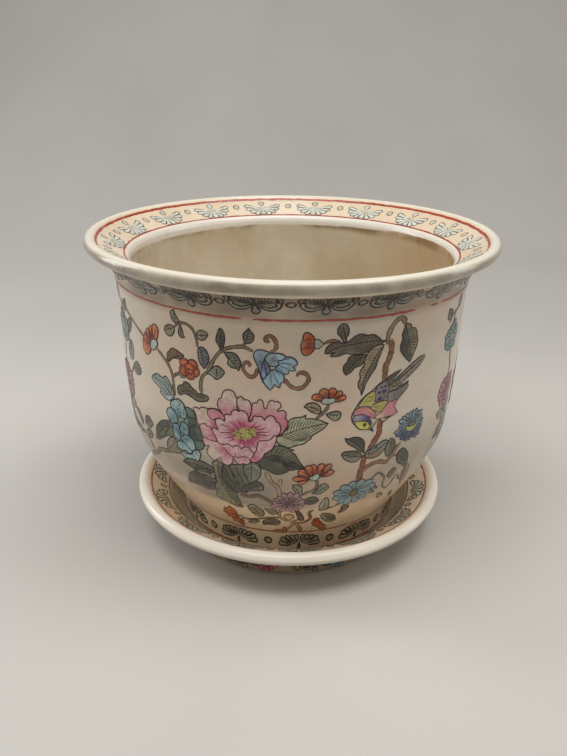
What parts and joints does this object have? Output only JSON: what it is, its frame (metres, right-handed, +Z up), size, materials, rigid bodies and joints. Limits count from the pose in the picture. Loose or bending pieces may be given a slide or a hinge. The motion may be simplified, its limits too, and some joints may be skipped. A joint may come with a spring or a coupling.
{
  "type": "jardiniere on stand",
  "caption": "Round glazed ceramic jardiniere with an everted rim, standing loose in the well of its matching flanged stand, painted with flowers, leaves and a bird.",
  "frame": {"origin": "centre of the stand's foot, on the surface the object stands on", "axes": "+Z up along the axis of both turned pieces; -Y faces the viewer and the side with the large peony and the bird"},
  "size_m": [0.3008, 0.3008, 0.2422],
  "materials": {
    "stand_glaze": "glossy ivory glaze, slightly greyed with age",
    "pot_glaze": "glossy ivory glaze with faint peach patches",
    "enamel": "overglaze painted enamel, slightly raised"
  },
  "bodies": {
    "stand": {"stand": "stand_glaze"},
    "jardiniere": {"jardiniere": "pot_glaze"}
  },
  "joints": [
    {"name": "pot_lift", "type": "slide", "parent": "stand", "child": "jardiniere", "axis": [0, 0, 1], "range_m": [0, 0.1]}
  ]
}
